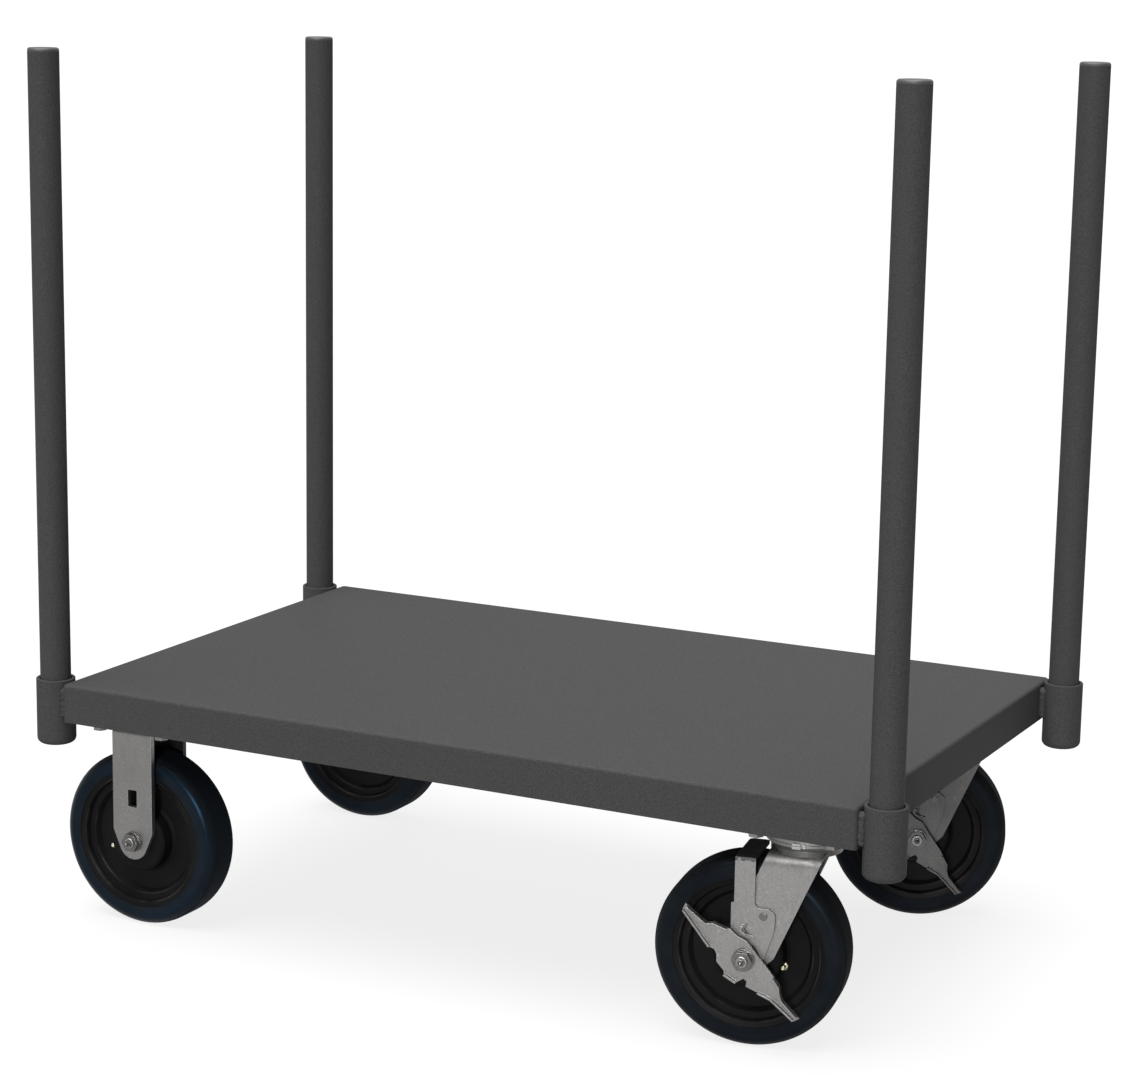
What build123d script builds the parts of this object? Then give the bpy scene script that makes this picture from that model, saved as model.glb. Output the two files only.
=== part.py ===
"""Stake platform truck: a steel deck on two rigid and two braked swivel casters, with four lift-out posts.

Millimetres. +Z is up and the floor is Z = 0. +X runs along the deck towards the swivel casters (the rear,
where it is pushed), and the left side is -Y. The origin is on the floor under the middle of the deck.
"""
import os
from math import cos, radians, sin

from build123d import *

INCH = 25.4

# deck
DECK_LENGTH = 38 * INCH
DECK_WIDTH = 24 * INCH
SHEET = 3.4
FLANGE_DEPTH = 1.75 * INCH
CHANNEL_DEPTH = 1.5 * INCH
CHANNEL_WIDTH = 5 * INCH
CHANNEL_WALL = 3.2
CHANNEL_END_GAP = 1.0
RIB_WIDTH = 2 * INCH
RIB_DEPTH = 1 * INCH
DECK_BEND = 4.0
CORNER_RADIUS = 5.0

# casters: overall height, wheel size and where the plates sit under the deck
CASTER_HEIGHT = 9.5 * INCH
WHEEL_RADIUS = 4 * INCH
WHEEL_WIDTH = 2 * INCH
CASTER_X = DECK_LENGTH / 2 - 3 * INCH
CASTER_Y = DECK_WIDTH / 2 - 61.0
SWIVEL_TRAIL = 53.0
SWIVEL_HEADING = {"rear_left": 10.0, "rear_right": 19.0}
DECK_TOP = CASTER_HEIGHT + CHANNEL_DEPTH + SHEET

# caster plates and their bolts
PLATE_LENGTH = 4.5 * INCH
PLATE_WIDTH = 4 * INCH
PLATE = 0.25 * INCH
PLATE_CORNER = 9.0
BOLT_X = 42.0
BOLT_Y = 36.0
BOLT_RADIUS = 4.75
BOLT_SLOT = 9.0
BOLT_HEAD = 7.2
BOLT_HEAD_HEIGHT = 6.0
NUT_HEIGHT = 8.0

# forks and yokes
LEG_HALF_WIDTH = 26.5
LEG_END_DROP = 21.0
LEG_INNER = 28.7
LEG_OUTER = LEG_INNER + PLATE
LEG_TAPER_WIDTH = 17.0
LEG_TAPER_DROP = 10.0
LEG_TAPER_RISE = 12.0
RIGID_BEND = 9.0
YOKE_BEND = 16.0
YOKE_TOP = 220.0
YOKE_RAKE = 23.4
SLOT_WIDTH = 12.0
SLOT_HEIGHT = 20.0
SLOT_ABOVE_AXLE = 51.0

# axle, bushing and wheel hub
AXLE_RADIUS = 6.35
BUSHING_RADIUS = 9.5
ROLLER_RADIUS = 2.75
ROLLER_COUNT = 12
HUB_HALF = 27.8
HUB_RADIUS = 36.5
RIM_RADIUS = 80.5
HEX_AXLE = 9.5
AXLE_NUT_HEIGHT = 5.5
AXLE_PROUD = 1.5
WASHER = 2.0
WASHER_RADIUS = 11.9
FITTING_HEX = 3.6
FITTING_NECK = 1.9
FITTING_BALL = 2.3

# swivel head
RACE_PITCH = 32.5
BALL_RADIUS = 3.5
BALL_COUNT = 20
BALL_Z = 226.2
RACE_RADIUS = 42.0
RACE_BASE_RADIUS = 37.0
RACE_INNER_RADIUS = 23.5
RACE_RIM = 4.0
RACE_LAP = 1.4
RACE_DEPTH = 1.8
RACE_PLATE_GAP = 0.4
KINGPIN_RADIUS = 9.5
KINGPIN_NUT = 13.5
KINGPIN_NUT_HEIGHT = 10.0
KINGPIN_PROUD = 1.5

# side brake, measured from the axle: rivet, lever with its shoe, and pedal
LEVER_PLATE = 3.0
RIVET_X = 18.0
RIVET_Z = 46.0
RIVET_RADIUS = 3.0
RIVET_HEAD = 4.2
RIVET_HEAD_HEIGHT = 1.2
ARM_LEFT = -13.0
ARM_RIGHT = 8.5
ARM_FOOT = 54.0
FINGER_REACH = 4.5
PEDAL_INNER = 42.9
PEDAL_PLATE = 3.0
PEDAL_SLOPE = {"rear_left": -41.7, "rear_right": -48.2}
LIP = 4.5
LIP_WALL = 1.8
ARM_START = 34.0
ARM_END = 79.0
CAM_STUD = 3.0
CAM_PLACE = (11.8, 7.8)
SHOE_BOTTOM = 103.9
SHOE_END = 28.0

# sockets and posts
SOCKET_RADIUS = 1.75 * INCH / 2
SOCKET_BORE = 18.45
SOCKET_FLOOR = 4.0
SOCKET_TOP = DECK_TOP + 1.2
SOCKET_BOTTOM = SOCKET_TOP - 3 * INCH
SOCKET_X = DECK_LENGTH / 2 + SOCKET_RADIUS + 1.0
SOCKET_Y = DECK_WIDTH / 2 - 19.7
SOCKET_ROUND = 7.0
SOCKET_RIM = 0.6
WELD_RADIUS = 5.5
WELD_IN = 2.6
WELD_APART = 11.5
POST_RADIUS = 1.375 * INCH / 2
POST_WALL = 2.4
POST_HEIGHT = 28 * INCH
CAP_HEIGHT = 4.0
CAP_EDGE = 3.0
CAP_SKIRT = 12.0
CAP_WALL = 2.0

# clearances: between parts that move past each other, and round shafts and bolts
GAP = 0.3
RUNNING = 0.06

UP = (Align.CENTER, Align.CENTER, Align.MIN)
CORNERS = {"front_left": (-1, -1), "front_right": (-1, 1), "rear_left": (1, -1), "rear_right": (1, 1)}


def tower(radius, low, high, x=0.0, y=0.0):
    """Round bar standing along Z."""
    return Pos(x, y, low) * Cylinder(radius, high - low, align=UP)


def crossbar(radius, low, high, x=0.0, z=0.0):
    """Round bar lying along Y."""
    return Pos(x, low, z) * Rot(X=-90) * Cylinder(radius, high - low, align=UP)


def hex_crossbar(across_flats, low, high, x=0.0, z=0.0):
    """Hexagonal bar lying along Y."""
    hexagon = RegularPolygon(across_flats, 6, major_radius=False)
    return Pos(x, low, z) * Rot(X=-90) * extrude(hexagon, high - low)


def slab_y(outline, low, high):
    """Flat outline drawn in X and Z, made thick along Y."""
    return Pos(0, high, 0) * extrude(Plane.XZ * outline, high - low)


def box(x_span, y_span, z_span):
    size = [high - low for low, high in (x_span, y_span, z_span)]
    middle = [(low + high) / 2 for low, high in (x_span, y_span, z_span)]
    return Pos(*middle) * Box(*size)


def spin_y(outline):
    """Outline drawn as radius and Y, turned about the Y axis."""
    return revolve(make_face(outline), Axis.Y)


def group(shapes):
    """Several separate solids that share one node."""
    return Compound(children=[solid for shape in shapes for solid in shape.solids()])


def upright(shape):
    """Edges that run along Z."""
    return shape.edges().filter_by(Axis.Z)


# ---------------------------------------------------------------- deck

def deck_pan():
    """Sheet with all four edges turned down and the corners closed."""
    low = DECK_TOP - FLANGE_DEPTH
    outer = box((-DECK_LENGTH / 2, DECK_LENGTH / 2), (-DECK_WIDTH / 2, DECK_WIDTH / 2), (low, DECK_TOP))
    outer = fillet(upright(outer), CORNER_RADIUS)
    outer = fillet(outer.faces().sort_by(Axis.Z)[-1].edges(), DECK_BEND)
    half_x = DECK_LENGTH / 2 - SHEET
    half_y = DECK_WIDTH / 2 - SHEET
    hollow = box((-half_x, half_x), (-half_y, half_y), (low - 1, DECK_TOP - SHEET))
    hollow = fillet(upright(hollow), CORNER_RADIUS - SHEET)
    return outer - hollow


def cross_channel(x):
    """Channel across the deck, web down, that takes one pair of casters."""
    half_y = DECK_WIDTH / 2 - SHEET - CHANNEL_END_GAP
    top = DECK_TOP - SHEET
    outer = box((-CHANNEL_WIDTH / 2, CHANNEL_WIDTH / 2), (-half_y, half_y), (CASTER_HEIGHT, top))
    outer = fillet(outer.faces().sort_by(Axis.Z)[0].edges().filter_by(Axis.Y), CHANNEL_WALL)
    inner_half = CHANNEL_WIDTH / 2 - CHANNEL_WALL
    inner = box((-inner_half, inner_half), (-half_y - 1, half_y + 1), (CASTER_HEIGHT + CHANNEL_WALL, top + 1))
    channel = outer - inner
    for side in (-1, 1):
        for bolt_x, bolt_y in bolt_places():
            channel -= tower(BOLT_RADIUS + RUNNING, CASTER_HEIGHT - 1, top, bolt_x, bolt_y + side * CASTER_Y)
    return Pos(x, 0, 0) * channel


def centre_rib():
    """Channel along the middle of the deck, between the two cross channels."""
    half_x = CASTER_X - CHANNEL_WIDTH / 2 - CHANNEL_END_GAP
    top = DECK_TOP - SHEET
    low = top - RIB_DEPTH
    outer = box((-half_x, half_x), (-RIB_WIDTH / 2, RIB_WIDTH / 2), (low, top))
    outer = fillet(outer.faces().sort_by(Axis.Z)[0].edges().filter_by(Axis.X), CHANNEL_WALL)
    inner_half = RIB_WIDTH / 2 - CHANNEL_WALL
    return outer - box((-half_x - 1, half_x + 1), (-inner_half, inner_half), (low + CHANNEL_WALL, top + 1))


def socket():
    """Closed tube on the deck's end that holds a post, at the origin in X and Y."""
    tube = tower(SOCKET_RADIUS, SOCKET_BOTTOM, SOCKET_TOP)
    tube = fillet(tube.edges().sort_by(Axis.Z)[0], SOCKET_ROUND)
    tube -= tower(SOCKET_BORE, SOCKET_BOTTOM + SOCKET_FLOOR, SOCKET_TOP + 1)
    return chamfer(tube.edges().sort_by(Axis.Z)[-2:], SOCKET_RIM)


def socket_welds():
    """Upright beads that join each socket to the deck's end, one on each side."""
    beads = []
    for along, across in CORNERS.values():
        for side in (-1, 1):
            crevice_x = along * (DECK_LENGTH / 2 + WELD_IN)
            crevice_y = across * SOCKET_Y + side * WELD_APART
            bead = tower(WELD_RADIUS, DECK_TOP - FLANGE_DEPTH + 2, DECK_TOP - DECK_BEND, crevice_x, crevice_y)
            bead -= tower(SOCKET_RADIUS, 0, DECK_TOP, along * SOCKET_X, across * SOCKET_Y)
            bead -= Box(DECK_LENGTH, 2 * DECK_WIDTH, 3 * DECK_TOP)
            beads.append(bead.solids().sort_by(SortBy.VOLUME)[-1])
    return group(beads)


# ---------------------------------------------------------------- posts

def post():
    """Round tube that drops into a socket."""
    low = SOCKET_BOTTOM + SOCKET_FLOOR + GAP
    high = DECK_TOP + POST_HEIGHT - CAP_HEIGHT
    return tower(POST_RADIUS, low, high) - tower(POST_RADIUS - POST_WALL, low - 1, high + 1)


def post_cap():
    """Domed plug in the top of a post."""
    low = DECK_TOP + POST_HEIGHT - CAP_HEIGHT
    head = tower(POST_RADIUS, low, low + CAP_HEIGHT)
    head = fillet(head.edges().sort_by(Axis.Z)[-1], CAP_EDGE)
    skirt_radius = POST_RADIUS - POST_WALL - RUNNING
    skirt = tower(skirt_radius, low - CAP_SKIRT, low)
    skirt -= tower(skirt_radius - CAP_WALL, low - CAP_SKIRT - 1, low)
    return head + skirt


# ---------------------------------------------------------------- casters: plates, forks and fasteners

def bolt_places():
    return [(x, y) for x in (-BOLT_X, BOLT_X) for y in (-BOLT_Y, BOLT_Y)]


def caster_plate():
    """Flat plate with four slotted bolt holes."""
    low = CASTER_HEIGHT - PLATE
    plate = Pos(0, 0, low) * extrude(RectangleRounded(PLATE_LENGTH, PLATE_WIDTH, PLATE_CORNER), PLATE)
    slot = extrude(SlotCenterToCenter(BOLT_SLOT, 2 * (BOLT_RADIUS + 0.4)), 3 * PLATE)
    for x, y in bolt_places():
        plate -= Pos(x, y, low - PLATE) * slot
    return plate


def caster_places():
    return [(along * CASTER_X, across * CASTER_Y) for along, across in CORNERS.values()]


def caster_bolts():
    """Hexagon bolts that come up through the plates into the nuts."""
    low = CASTER_HEIGHT - PLATE
    top = CASTER_HEIGHT + CHANNEL_WALL + NUT_HEIGHT + 2
    head = Pos(0, 0, low - BOLT_HEAD_HEIGHT) * extrude(RegularPolygon(BOLT_HEAD, 6, major_radius=False),
                                                       BOLT_HEAD_HEIGHT)
    bolt = head + tower(BOLT_RADIUS, low, top)
    return group([Pos(cx + x, cy + y, 0) * bolt for cx, cy in caster_places() for x, y in bolt_places()])


def channel_nuts():
    """Nuts welded on the upper side of the channels' webs."""
    low = CASTER_HEIGHT + CHANNEL_WALL
    nut = Pos(0, 0, low) * extrude(RegularPolygon(BOLT_HEAD, 6, major_radius=False), NUT_HEIGHT)
    nut -= tower(BOLT_RADIUS + RUNNING, low - 1, low + NUT_HEIGHT + 1)
    return group([Pos(cx + x, cy + y, 0) * nut for cx, cy in caster_places() for x, y in bolt_places()])


def leg_outline(length, rake):
    """Side view of a fork leg: a strip with a tapered round end about the axle, raked forward."""
    foot_left = (-LEG_TAPER_WIDTH, -LEG_TAPER_DROP)
    foot_right = (LEG_TAPER_WIDTH, -LEG_TAPER_DROP)
    left = Polyline((-LEG_HALF_WIDTH, length), (-LEG_HALF_WIDTH, LEG_TAPER_RISE), foot_left)
    end = ThreePointArc(foot_left, (0, -LEG_END_DROP), foot_right)
    right = Polyline(foot_right, (LEG_HALF_WIDTH, LEG_TAPER_RISE), (LEG_HALF_WIDTH, length),
                     (-LEG_HALF_WIDTH, length))
    return Rot(Z=-rake) * make_face(left + end + right)


def bent_strap(top, bend):
    """Strap bent over the wheel, seen from the front: two legs and a flat crown up to this height."""
    reach = 3 * LEG_HALF_WIDTH
    outer = box((-reach, reach), (-LEG_OUTER, LEG_OUTER), (0, top))
    outer = fillet(outer.faces().sort_by(Axis.Z)[-1].edges().filter_by(Axis.X), bend)
    inner = box((-reach - 1, reach + 1), (-LEG_INNER, LEG_INNER), (-1, top - PLATE))
    inner = fillet(inner.faces().sort_by(Axis.Z)[-1].edges().filter_by(Axis.X), bend - PLATE)
    return outer - inner


def rigid_fork():
    """Straight fork, about its axle's place in X and Y, with a slot in each leg."""
    side = Pos(0, WHEEL_RADIUS) * leg_outline(CASTER_HEIGHT, 0)
    fork = bent_strap(CASTER_HEIGHT - PLATE, RIGID_BEND) & slab_y(side, -2 * LEG_OUTER, 2 * LEG_OUTER)
    slot_z = WHEEL_RADIUS + SLOT_ABOVE_AXLE
    slot = Pos(0, 0, slot_z) * Box(SLOT_WIDTH, 3 * LEG_OUTER, SLOT_HEIGHT)
    fork -= fillet(slot.edges().filter_by(Axis.Y), 1.5)
    return fork - crossbar(AXLE_RADIUS + RUNNING, -2 * LEG_OUTER, 2 * LEG_OUTER, 0, WHEEL_RADIUS)


def bushing():
    """Hard sleeve on the axle between the legs, which the bearing runs on."""
    sleeve = crossbar(BUSHING_RADIUS, -LEG_INNER, LEG_INNER)
    return sleeve - crossbar(AXLE_RADIUS + RUNNING, -LEG_OUTER, LEG_OUTER)


def axle_bolt(face):
    """Axle bolt along Y, its head at +Y and its threaded end through a nut that starts this far out at -Y."""
    shank = crossbar(AXLE_RADIUS, -face - WASHER - AXLE_NUT_HEIGHT - AXLE_PROUD, LEG_OUTER)
    head = hex_crossbar(HEX_AXLE, LEG_OUTER, LEG_OUTER + AXLE_NUT_HEIGHT)
    return chamfer((shank + head).edges().sort_by(Axis.Y)[0], 0.8)


def axle_hardware(face):
    """Flat washer, nut and grease fitting at the axle bolt's end, from this far out at -Y."""
    nut_face = -face - WASHER - AXLE_NUT_HEIGHT
    bore = crossbar(AXLE_RADIUS + RUNNING, -2 * face, 0)
    washer = crossbar(WASHER_RADIUS, -face - WASHER, -face) - bore
    nut = hex_crossbar(HEX_AXLE, nut_face, -face - WASHER) & Pos(0, nut_face, 0) * Sphere(WASHER_RADIUS)
    hexagon_end = nut_face - AXLE_PROUD - FITTING_NECK
    fitting = hex_crossbar(FITTING_HEX, hexagon_end, nut_face - AXLE_PROUD)
    fitting += crossbar(FITTING_NECK, hexagon_end - FITTING_BALL, hexagon_end)
    fitting += Pos(0, hexagon_end - FITTING_BALL, 0) * Sphere(FITTING_BALL)
    return group([washer, nut - bore, fitting])


# ---------------------------------------------------------------- wheels, with the axle along Y at the origin

def wheel_core():
    """Moulded wheel body: hub, web and a stepped rim."""
    bore = BUSHING_RADIUS + 2 * ROLLER_RADIUS + 2 * RUNNING
    half = [(bore, HUB_HALF), (HUB_RADIUS - 3, HUB_HALF), (HUB_RADIUS, HUB_HALF - 3), (HUB_RADIUS + 2, 12),
            (HUB_RADIUS + 5, 9.5), (62, 9.5), (66, 16), (72.5, 16.5), (74.5, 22.5), (RIM_RADIUS, 24.2)]
    mirrored = [(radius, -y) for radius, y in reversed(half)]
    return spin_y(Polyline(*half, *mirrored, close=True))


def tread():
    """Bonded tread with a flat crown and round shoulders."""
    shoulder, crown = 91.0, 13.0
    half = WHEEL_WIDTH / 2
    bond = [Line((RIM_RADIUS, -half + 0.6), (RIM_RADIUS, half - 0.6)),
            Line((RIM_RADIUS, half - 0.6), (shoulder, half)),
            Line((WHEEL_RADIUS, crown), (WHEEL_RADIUS, -crown)),
            Line((shoulder, -half), (RIM_RADIUS, -half + 0.6))]
    upper = ThreePointArc((shoulder, half), (98.6, 21.4), (WHEEL_RADIUS, crown))
    lower = ThreePointArc((WHEEL_RADIUS, -crown), (98.6, -21.4), (shoulder, -half))
    return spin_y(bond + [upper, lower])


def roller_bearing():
    """Rollers round the bushing, with the cage's two end rings."""
    pitch = BUSHING_RADIUS + ROLLER_RADIUS + RUNNING
    outer = BUSHING_RADIUS + 2 * ROLLER_RADIUS + RUNNING
    end = HUB_HALF - 3
    ring = crossbar(outer, end, end + 2) - crossbar(BUSHING_RADIUS + 2 * RUNNING, end - 1, end + 3)
    pieces = [ring, mirror(ring, Plane.XZ)]
    for place in range(ROLLER_COUNT):
        angle = radians(360 / ROLLER_COUNT * place)
        pieces.append(crossbar(ROLLER_RADIUS, -end, end, pitch * cos(angle), pitch * sin(angle)))
    return group(pieces)


# ---------------------------------------------------------------- swivel head, about the swivel axis

def swivel_plate():
    """Caster plate with the upper ball race under it."""
    low = CASTER_HEIGHT - PLATE
    race = tower(RACE_RADIUS, BALL_Z + RACE_LAP + RACE_PLATE_GAP, low)
    groove = Pos(0, 0, BALL_Z) * Torus(RACE_PITCH, BALL_RADIUS + RUNNING)
    plate = caster_plate() + race - groove
    return plate - tower(KINGPIN_RADIUS + RUNNING, 0, CASTER_HEIGHT + 1)


def race_ring():
    """Dished ring on the yoke's crown that holds the balls."""
    rim_inner = RACE_RADIUS - RACE_RIM
    outline = Polyline((RACE_INNER_RADIUS, YOKE_TOP), (RACE_BASE_RADIUS, YOKE_TOP),
                       (RACE_RADIUS, BALL_Z - RACE_LAP), (RACE_RADIUS, BALL_Z + RACE_LAP),
                       (rim_inner, BALL_Z + RACE_LAP), (rim_inner, BALL_Z - RACE_DEPTH),
                       (RACE_INNER_RADIUS, BALL_Z - RACE_DEPTH), close=True)
    ring = revolve(Plane.XZ * make_face(outline), Axis.Z)
    return ring - Pos(0, 0, BALL_Z) * Torus(RACE_PITCH, BALL_RADIUS + RUNNING)


def balls():
    """Ring of bearing balls between the two races."""
    pieces = []
    for place in range(BALL_COUNT):
        angle = radians(360 / BALL_COUNT * place)
        pieces.append(Pos(RACE_PITCH * cos(angle), RACE_PITCH * sin(angle), BALL_Z) * Sphere(BALL_RADIUS))
    return group(pieces)


def kingpin():
    """Pin riveted into the swivel plate, with the nut under the yoke's crown."""
    nut_low = YOKE_TOP - PLATE - GAP - KINGPIN_NUT_HEIGHT
    pin = tower(KINGPIN_RADIUS, nut_low - KINGPIN_PROUD, CASTER_HEIGHT)
    pin = chamfer(pin.edges().sort_by(Axis.Z)[0], KINGPIN_PROUD / 2)
    nut = extrude(RegularPolygon(KINGPIN_NUT, 6, major_radius=False), KINGPIN_NUT_HEIGHT)
    return pin + Pos(0, 0, nut_low) * nut


def yoke():
    """Raked fork that turns on the balls, with the wheel trailing behind the swivel axis."""
    side = Pos(-SWIVEL_TRAIL, WHEEL_RADIUS) * leg_outline(CASTER_HEIGHT, YOKE_RAKE)
    body = bent_strap(YOKE_TOP, YOKE_BEND) & slab_y(side, -2 * LEG_OUTER, 2 * LEG_OUTER)
    body += tower(RACE_BASE_RADIUS, YOKE_TOP - PLATE, YOKE_TOP)
    body -= tower(KINGPIN_RADIUS + RUNNING, 0, CASTER_HEIGHT)
    body -= crossbar(AXLE_RADIUS + RUNNING, -2 * LEG_OUTER, 2 * LEG_OUTER, -SWIVEL_TRAIL, WHEEL_RADIUS)
    rivet_x = RIVET_X - SWIVEL_TRAIL
    return body - crossbar(RIVET_RADIUS + RUNNING, -2 * LEG_OUTER, 0, rivet_x, WHEEL_RADIUS + RIVET_Z)


# ---------------------------------------------------------------- side brake, with the axle at the origin

def brake_rivet():
    """Rivet that the lever turns on, through the yoke's leg."""
    lever_face = LEG_OUTER + GAP + LEVER_PLATE
    shank = crossbar(RIVET_RADIUS, -lever_face - GAP, -LEG_INNER)
    head = crossbar(RIVET_HEAD, -lever_face - GAP - RIVET_HEAD_HEIGHT, -lever_face - GAP)
    head = fillet(head.edges().sort_by(Axis.Y)[0], RIVET_HEAD_HEIGHT / 2)
    return Pos(RIVET_X, 0, RIVET_Z) * (shank + head)


def brake_collar():
    """Collar on the axle bolt that the pedal turns on."""
    collar = crossbar(BUSHING_RADIUS, -PEDAL_INNER - PEDAL_PLATE - GAP, -LEG_OUTER)
    return collar - crossbar(AXLE_RADIUS + RUNNING, -2 * PEDAL_INNER, 0)


def brake_lever():
    """Lever plate with an upright arm, a shoe bent over the tread at its top and a small finger bent out."""
    arm_top = SHOE_BOTTOM + LEVER_PLATE
    outline = [(ARM_LEFT, arm_top), (ARM_RIGHT, arm_top), (ARM_RIGHT, ARM_FOOT), (23, ARM_FOOT), (30, 49),
               (30, 38), (29, 29), (23, 11), (19.5, 0.5), (17.2, 0), (12.4, 8.6), (9.5, 14), (-11, 14),
               (-16, 24), (-16, 57), (ARM_LEFT, 58)]
    plate = make_face(Polyline(*outline, close=True))
    plate = fillet(plate.vertices().sort_by_distance((ARM_RIGHT, ARM_FOOT))[0], 6)
    plate = fillet(plate.vertices().sort_by_distance((30, 49))[0], 5)
    cut = make_face(Polyline((2, 36), (-0.5, 30), (3.5, 26.5), (8, 25.5), (8, 24), (3, 25), (-2.2, 29.5),
                             (0.6, 36.6), close=True))
    inner = -LEG_OUTER - GAP
    outer = inner - LEVER_PLATE
    lever = slab_y(plate - cut, outer, inner)
    shoe = box((ARM_LEFT, ARM_RIGHT), (outer, SHOE_END), (SHOE_BOTTOM, arm_top))
    shoe = fillet(shoe.edges().filter_by(Axis.Z).sort_by(Axis.Y)[-2:], 5)
    lever = fillet((lever + shoe).edges().filter_by(Axis.X).sort_by_distance((0, outer, arm_top))[0], 2.5)
    finger = make_face(Polyline((-5.5, 34.5), (-1.5, 34.5), (-3.5, 29.5), (1.5, 26.3), (0, 24.3),
                                (-6.5, 28.6), close=True))
    lever += slab_y(finger, outer - FINGER_REACH, outer)
    return lever - crossbar(RIVET_RADIUS + RUNNING, -2 * PEDAL_INNER, 0, RIVET_X, RIVET_Z)


def brake_pedal(slope):
    """Two-armed foot pedal on the axle, with turned-out edges, a small lug and a cam stud behind."""
    upper = [(-82, -1.6), (-53, 0.5), (-48.5, 6.4), (-32, 13.2), (-20, 14), (-11, 17), (8, 14),
             (27, 12), (45, 8), (51, 2.7), (57, -0.5), (82, -1.9)]
    lower = [(80, -8), (48, -9.2), (21, -19), (18.5, -14.3), (14, -14.3), (11.4, -23.5), (-3, -26.7),
             (-5.6, -23.8), (-17.6, -22.4), (-23, -16.4), (-28.5, -14.6), (-33.5, -16.5), (-80, -8)]
    outline = make_face(Polyline(*upper, *lower, close=True))
    rim = outline - offset(outline, -LIP_WALL, kind=Kind.INTERSECTION)
    arms = Rectangle(2 * ARM_END, 2 * ARM_END) - Rectangle(2 * ARM_START, 2 * ARM_END)
    lug = make_face(Polyline((-3, -26.7), (11.4, -23.5), (11.4, -21.5), (-3, -24.7), close=True))
    outer = -PEDAL_INNER - PEDAL_PLATE
    pedal = slab_y(outline, outer, -PEDAL_INNER)
    pedal += slab_y(rim & arms, outer - LIP, outer)
    pedal += slab_y(lug, outer - LIP, outer)
    pedal -= crossbar(BUSHING_RADIUS + RUNNING, -2 * PEDAL_INNER, 0)
    pedal += crossbar(CAM_STUD, -PEDAL_INNER, -LEG_OUTER - 1.0, *CAM_PLACE)
    return Rot(Y=-slope) * pedal


# ---------------------------------------------------------------- the whole truck

def assemble():
    nodes = {
        "deck_pan": deck_pan(),
        "front_cross_channel": cross_channel(-CASTER_X),
        "rear_cross_channel": cross_channel(CASTER_X),
        "centre_rib": centre_rib(),
        "socket_welds": socket_welds(),
        "caster_bolts": caster_bolts(),
        "channel_nuts": channel_nuts(),
    }
    for corner, (along, across) in CORNERS.items():
        place = Pos(along * SOCKET_X, across * SOCKET_Y, 0)
        nodes[f"{corner}_socket"] = place * socket()
        nodes[f"{corner}_post"] = place * post()
        nodes[f"{corner}_post_cap"] = place * post_cap()

    rigid_axles = [Pos(-CASTER_X, across * CASTER_Y, WHEEL_RADIUS) for across in (-1, 1)]
    nodes["front_axle_bolts"] = group([axle * axle_bolt(LEG_OUTER)
                                       for axle in rigid_axles])
    nodes["front_axle_hardware"] = group([axle * axle_hardware(LEG_OUTER) for axle in rigid_axles])
    nodes["front_bushings"] = group([axle * bushing() for axle in rigid_axles])
    nodes["kingpins"] = group([Pos(CASTER_X, across * CASTER_Y, 0) * kingpin() for across in (-1, 1)])

    for corner, (along, across) in CORNERS.items():
        foot = Pos(along * CASTER_X, across * CASTER_Y, 0)
        if corner.startswith("front"):
            nodes[f"{corner}_plate"] = foot * caster_plate()
            nodes[f"{corner}_fork"] = foot * rigid_fork()
            axle = foot * Pos(0, 0, WHEEL_RADIUS)
        else:
            head = foot * Rot(Z=SWIVEL_HEADING[corner])
            axle = head * Pos(-SWIVEL_TRAIL, 0, WHEEL_RADIUS)
            pedal_face = PEDAL_INNER + PEDAL_PLATE + GAP
            nodes[f"{corner}_plate"] = foot * swivel_plate()
            nodes[f"{corner}_race_ring"] = head * race_ring()
            nodes[f"{corner}_balls"] = head * balls()
            nodes[f"{corner}_yoke"] = head * yoke()
            nodes[f"{corner}_axle_bolt"] = axle * axle_bolt(pedal_face)
            nodes[f"{corner}_axle_hardware"] = axle * axle_hardware(pedal_face)
            nodes[f"{corner}_bushings"] = axle * group([bushing(), brake_collar()])
            nodes[f"{corner}_brake_rivet"] = axle * brake_rivet()
            nodes[f"{corner}_brake_lever"] = axle * brake_lever()
            nodes[f"{corner}_brake_pedal"] = axle * brake_pedal(PEDAL_SLOPE[corner])
        nodes[f"{corner}_wheel_core"] = axle * wheel_core()
        nodes[f"{corner}_tread"] = axle * tread()
        nodes[f"{corner}_bearing"] = axle * roller_bearing()
    return nodes


os.makedirs("parts", exist_ok=True)
for name, shape in assemble().items():
    export_step(shape, f"parts/{name}.step")
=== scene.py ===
"""Looks of the stake platform truck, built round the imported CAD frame. Metres, +Z up, floor at Z = 0."""
from math import cos, pi, radians, sin

import bmesh
import bpy
from mathutils import Matrix, Vector


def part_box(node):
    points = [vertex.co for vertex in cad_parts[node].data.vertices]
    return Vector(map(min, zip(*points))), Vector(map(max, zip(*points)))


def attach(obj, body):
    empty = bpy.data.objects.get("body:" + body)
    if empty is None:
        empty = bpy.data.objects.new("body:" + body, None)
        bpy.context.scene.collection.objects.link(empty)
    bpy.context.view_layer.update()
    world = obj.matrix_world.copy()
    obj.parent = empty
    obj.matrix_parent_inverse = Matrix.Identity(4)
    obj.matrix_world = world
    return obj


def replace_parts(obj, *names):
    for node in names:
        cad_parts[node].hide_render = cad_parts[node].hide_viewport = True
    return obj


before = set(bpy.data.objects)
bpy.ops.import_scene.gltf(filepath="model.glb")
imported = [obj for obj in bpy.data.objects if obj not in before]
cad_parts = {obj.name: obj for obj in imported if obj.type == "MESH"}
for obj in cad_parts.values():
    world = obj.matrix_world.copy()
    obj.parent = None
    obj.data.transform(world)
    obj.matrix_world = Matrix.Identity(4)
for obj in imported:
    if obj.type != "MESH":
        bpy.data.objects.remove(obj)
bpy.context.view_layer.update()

MM = 0.001

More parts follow.
